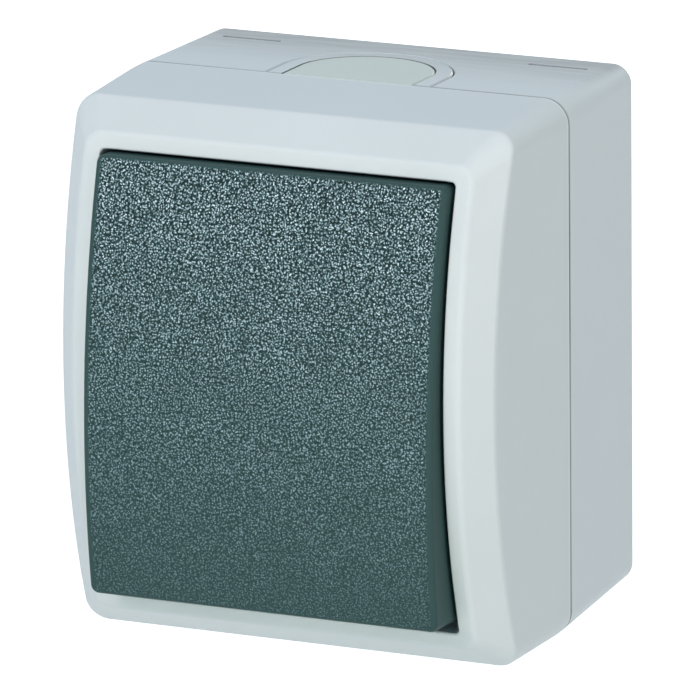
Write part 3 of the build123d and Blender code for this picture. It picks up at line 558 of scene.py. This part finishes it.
# %% The other finishes
FINISHES = {
    "rocker": rocker_finish,
    "membrane": moulded_plastic("membrane_rubber", srgb(218, 227, 222), 0.42,
                                drift_share=0.06, grain=1100.0, depth=8e-6),
    "gasket": moulded_plastic("gasket_rubber", srgb(36, 50, 54), 0.62,
                              drift_share=0.15, grain=900.0, depth=1.2e-5),
    "insulation": moulded_plastic("insulation", srgb(214, 213, 205), 0.5,
                                  drift_share=0.05, grain=1300.0, depth=6e-6),
    "cradle": moulded_plastic("cradle_plastic", srgb(190, 194, 194), 0.34,
                              drift_share=0.05, grain=1600.0, depth=3e-6),
    "zinc_plate": worked_metal("zinc_plate", srgb(202, 203, 200), 0.34),
    "screw_steel": worked_metal("screw_steel", srgb(190, 191, 190), 0.3, ALONG_SCREW),
    "spring_steel": worked_metal("spring_steel", srgb(172, 173, 176), 0.28, ACROSS_DEPTH),
    "contact_metal": worked_metal("contact_brass", srgb(224, 190, 128), 0.3),
}
print("Finishes by slot:", sorted(FINISHES))

# %% [markdown]
# ## Dress the CAD pieces
#
# A CAD piece whose shape is right keeps its mesh and only gets a better finish in its material slots.
# The housing slot is shared by the box and the cover, which come from different moulds, so those are
# told apart by name.

# %% Give the materials to the CAD pieces
BOX_SIDE = ("back_box", "cable_entry_top", "cable_entry_bottom")


def dress(name, material):
    """Puts one material in every slot of a CAD node."""
    piece = nodes[name]
    if not piece.material_slots:
        piece.data.materials.append(material)
    for slot in piece.material_slots:
        slot.material = material


for entry in frame["record"]["subparts"]:
    housing_finish = box_plastic if entry["node"] in BOX_SIDE else cover_plastic
    dress(entry["node"], FINISHES.get(entry["material_slot"], housing_finish))

# %% [markdown]
# ## White paper under the switch
#
# The photograph is a cut-out on white. A floor that is only lit would be grey, and one that glows
# would light the housing from below. So the paper glows only for rays from the camera and for those
# that shiny or clear surfaces send on. Near the switch the glow is weaker, so that the paper still
# takes its shadow. Far away it is full, so that the paper is as white as the surroundings.

# %% Floor
FLOOR_DROP = 0.06
FLOOR_HALF_WIDTH = 4.0
PAPER_COLOR = (0.8, 0.8, 0.8, 1.0)
PAPER_ROUGHNESS = 0.9
NEAR_GLOW = 0.75
NEAR_REACH = 0.3
FAR_REACH = 0.8
WHITE = (1.0, 1.0, 1.0, 1.0)


def looked_at(tree):
    """One for rays from the camera, and for those that shiny or clear surfaces send on."""
    rays = node(tree, "ShaderNodeLightPath")
    seen = rays.outputs["Is Camera Ray"]
    for name in ("Is Glossy Ray", "Is Transmission Ray"):
        either = node(tree, "ShaderNodeMath", operation="MAXIMUM")
        tree.links.new(seen, either.inputs[0])
        tree.links.new(rays.outputs[name], either.inputs[1])
        seen = either.outputs["Value"]
    return seen


def floor_paper():
    """White paper that glows where it is looked at, and less near the switch."""
    material, tree, shader = new_material("floor_paper", PAPER_ROUGHNESS)
    shader.inputs["Base Color"].default_value = PAPER_COLOR
    far = node(tree, "ShaderNodeVectorMath", operation="LENGTH")
    tree.links.new(object_coordinates(tree), far.inputs[0])
    fade = span(tree, far.outputs["Value"], NEAR_GLOW, 1.0, NEAR_REACH, FAR_REACH)
    shader.inputs["Emission Color"].default_value = WHITE
    tree.links.new(multiply(tree, looked_at(tree), fade), shader.inputs["Emission Strength"])
    return material


def studio_floor(height):
    """A wide sheet of paper at the given height."""
    mesh = bpy.data.meshes.new("floor")
    shape = bmesh.new()
    bmesh.ops.create_grid(shape, x_segments=2, y_segments=2, size=FLOOR_HALF_WIDTH)
    bmesh.ops.translate(shape, vec=(0.0, 0.0, height), verts=shape.verts)
    shape.to_mesh(mesh)
    shape.free()
    mesh.materials.append(floor_paper())
    sheet = bpy.data.objects.new("floor", mesh)
    scene.collection.objects.link(sheet)
    return sheet


floor_height = cad_low.z - FLOOR_DROP
floor = studio_floor(floor_height)
print("Floor at z =", round(floor_height, 3))

# %% [markdown]
# ## The surroundings
#
# The world plays two parts. What the camera and shiny surfaces see is plain white, as in the picture.
# What falls on the housing as light is a weak bluish air, which fills the shades that the panels
# leave. One background for both would either grey the picture or flood the housing.

# %% World
WORLD_COLOR = (0.45, 1.05, 1.4)
WORLD_LIGHT = 0.2

world = bpy.data.worlds.new("studio")
scene.world = world
world.use_nodes = True
sky = world.node_tree
studio_air = sky.nodes["Background"]
studio_air.inputs["Color"].default_value = (*WORLD_COLOR, 1.0)
studio_air.inputs["Strength"].default_value = WORLD_LIGHT
white_paper = node(sky, "ShaderNodeBackground")
white_paper.inputs["Color"].default_value = WHITE
surroundings = node(sky, "ShaderNodeMixShader")
sky.links.new(looked_at(sky), surroundings.inputs[0])
sky.links.new(studio_air.outputs[0], surroundings.inputs[1])
sky.links.new(white_paper.outputs[0], surroundings.inputs[2])
sky.links.new(surroundings.outputs[0], sky.nodes["World Output"].inputs["Surface"])
print("Strength of the studio air:", WORLD_LIGHT)

# %% [markdown]
# ## The light panels
#
# The picture has broad soft light from above and from the right, with a weaker one from the left that
# shapes the lip. Large panels wrap round the housing and leave no hard edges. A small panel near the
# floor lifts the lower lip, and one behind lights the sides that the picture hides. The slight tints
# balance each other, as mixed studio light does.

# %% Light panels
PANEL_TARGET = Vector((0.0, -0.03, 0.0))


def panel(name, place, size, power, color):
    """A soft square light panel that looks at the middle of the switch."""
    light = bpy.data.lights.new(name, "AREA")
    light.shape = "SQUARE"
    light.size = size
    light.energy = power
    light.color = color
    holder = bpy.data.objects.new(name, light)
    holder.location = place
    aim = PANEL_TARGET - Vector(place)
    holder.rotation_mode = "QUATERNION"
    holder.rotation_quaternion = aim.to_track_quat("-Z", "Y")
    holder.visible_camera = False
    scene.collection.objects.link(holder)


panel("left_panel", (-0.25, -1.02, 0.6), 0.3, 2.3, (1.15, 0.87, 0.98))
panel("right_panel", (1.2, -0.25, 0.25), 0.9, 4.9, (1.2, 0.98, 0.82))
panel("top_panel", (-0.05, -0.6, 1.05), 0.8, 6.3, (1.05, 1.0, 0.95))
panel("low_panel", (0.0, -0.5, -0.068), 0.05, 0.38, (1.03, 1.12, 0.86))
panel("back_panel", (-0.1, 1.3, 0.0), 0.4, 4.5, (1.15, 1.0, 0.88))
print("Light panels:", [light.name for light in bpy.data.lights])
